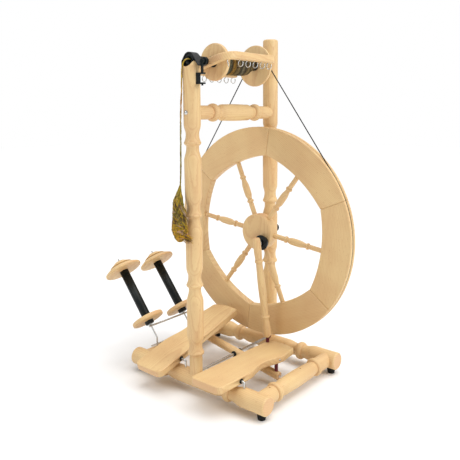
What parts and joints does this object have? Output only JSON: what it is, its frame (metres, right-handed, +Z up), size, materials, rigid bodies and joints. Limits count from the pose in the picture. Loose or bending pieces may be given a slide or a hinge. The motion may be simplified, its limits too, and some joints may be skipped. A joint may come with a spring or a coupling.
{
  "type": "spinning wheel",
  "caption": "Upright double-treadle spinning wheel with a large segmented wheel on turned posts, a bobbin-lead flyer above it and a side rack with two bobbins.",
  "frame": {"origin": "on the floor under the middle of the machine's bounding box, measured without the yarn and its fibre", "axes": "+X along the front beam to the wheel side's right seen from the spinner's seat, +Y from the front post to the rear post, +Z up"},
  "size_m": [0.5727, 0.3638, 0.772],
  "materials": {
    "beech": "satin oiled beech",
    "steel": "bright zinc-plated steel",
    "black_plastic": "black moulded nylon",
    "rubber": "black rubber",
    "flexible_link": "maroon polyurethane",
    "leather": "black leather",
    "drive_band": "dark stretch cord",
    "yarn": "mustard wool yarn",
    "wound_yarn": "brown and olive wool yarn",
    "fibre": "unspun dyed wool"
  },
  "bodies": {
    "root": {"front_beam": "beech", "rear_beam": "beech", "side_rail_left": "beech", "side_rail_right": "beech", "front_post": "beech", "rear_post": "beech", "upper_rail": "beech", "feet": "rubber", "frame_screws": "steel", "treadle_axle_left": "steel", "treadle_axle_right": "steel", "rocker_rod": "steel", "rack_spindle_front": "steel", "rack_spindle_rear": "steel", "rack_base_wire": "steel", "rack_crossbar": "steel", "orifice_bearing": "black_plastic", "rear_post_bearings": "black_plastic", "brake_strap": "leather", "brake_bracket": "black_plastic", "drive_band": "drive_band", "yarn": "yarn", "fibre_bundle": "fibre"},
    "wheel": {"rim_segment_1": "beech", "rim_segment_2": "beech", "rim_segment_3": "beech", "rim_segment_4": "beech", "rim_segment_5": "beech", "rim_segment_6": "beech", "spokes": "beech", "hub": "beech", "wheel_axle": "steel", "axle_knob": "black_plastic", "crank_housing": "black_plastic", "crank_pin": "steel"},
    "treadle_right": {"treadle_right": "beech", "treadle_bushings_right": "black_plastic", "footman_connector": "flexible_link"},
    "treadle_left": {"treadle_left": "beech", "treadle_bushings_left": "black_plastic"},
    "footman": {"footman": "beech"},
    "rocker": {"rocker": "beech", "rocker_bushing": "black_plastic", "rocker_connectors": "flexible_link", "rocker_pins": "steel"},
    "flyer": {"flyer_yoke": "beech", "orifice_tube": "black_plastic", "flyer_shaft": "steel", "flyer_hooks": "steel"},
    "bobbin": {"bobbin_tube": "black_plastic", "bobbin_flange": "beech", "bobbin_pulley": "beech", "wound_yarn": "wound_yarn"},
    "spare_bobbin_front": {"spare_front_tube": "black_plastic", "spare_front_flange": "beech", "spare_front_pulley": "beech"},
    "spare_bobbin_rear": {"spare_rear_tube": "black_plastic", "spare_rear_flange": "beech", "spare_rear_pulley": "beech"},
    "brake_screw": {"brake_screw": "black_plastic"}
  },
  "joints": [
    {"name": "wheel_spin", "type": "hinge", "parent": "root", "child": "wheel", "pos_m": [0.03635, 0.11329, 0.32], "axis": [0, 1, 0], "continuous": true},
    {"name": "treadle_right_tilt", "type": "hinge", "parent": "root", "child": "treadle_right", "pos_m": [0.12234, -0.11471, 0.0635], "axis": [1, 0, 0], "range_deg": [-4, 16.5]},
    {"name": "treadle_left_tilt", "type": "hinge", "parent": "root", "child": "treadle_left", "pos_m": [-0.04965, -0.11471, 0.0635], "axis": [1, 0, 0], "range_deg": [-16.5, 4]},
    {"name": "footman_swing", "type": "hinge", "parent": "treadle_right", "child": "footman", "pos_m": [0.08735, 0.07529, 0.081], "axis": [1, 0, 0], "range_deg": [-19.5, 4.8]},
    {"name": "rocker_tilt", "type": "hinge", "parent": "root", "child": "rocker", "pos_m": [0.03635, 0.02329, 0.044], "axis": [0, 1, 0], "range_deg": [-20.2, 5]},
    {"name": "flyer_spin", "type": "hinge", "parent": "root", "child": "flyer", "pos_m": [0.03635, 0.00529, 0.708], "axis": [0, 1, 0], "continuous": true},
    {"name": "bobbin_spin", "type": "hinge", "parent": "root", "child": "bobbin", "pos_m": [0.03635, 0.02529, 0.708], "axis": [0, 1, 0], "continuous": true},
    {"name": "spare_bobbin_front_spin", "type": "hinge", "parent": "root", "child": "spare_bobbin_front", "pos_m": [-0.13165, -0.07471, 0.069], "axis": [-0.6293, 0, 0.7771], "continuous": true},
    {"name": "spare_bobbin_rear_spin", "type": "hinge", "parent": "root", "child": "spare_bobbin_rear", "pos_m": [-0.13165, 0.03729, 0.069], "axis": [-0.6293, 0, 0.7771], "continuous": true},
    {"name": "brake_screw_turn", "type": "hinge", "parent": "root", "child": "brake_screw", "pos_m": [0.06735, -0.11071, 0.704], "axis": [0, 1, 0], "continuous": true}
  ],
  "couplings": [
    {"joint": "treadle_left_tilt", "follows": "treadle_right_tilt", "ratio": -1},
    {"joint": "footman_swing", "follows": "treadle_right_tilt", "ratio": -1.18},
    {"joint": "rocker_tilt", "follows": "treadle_right_tilt", "ratio": -1.218},
    {"joint": "bobbin_spin", "follows": "wheel_spin", "ratio": 10.274}
  ]
}
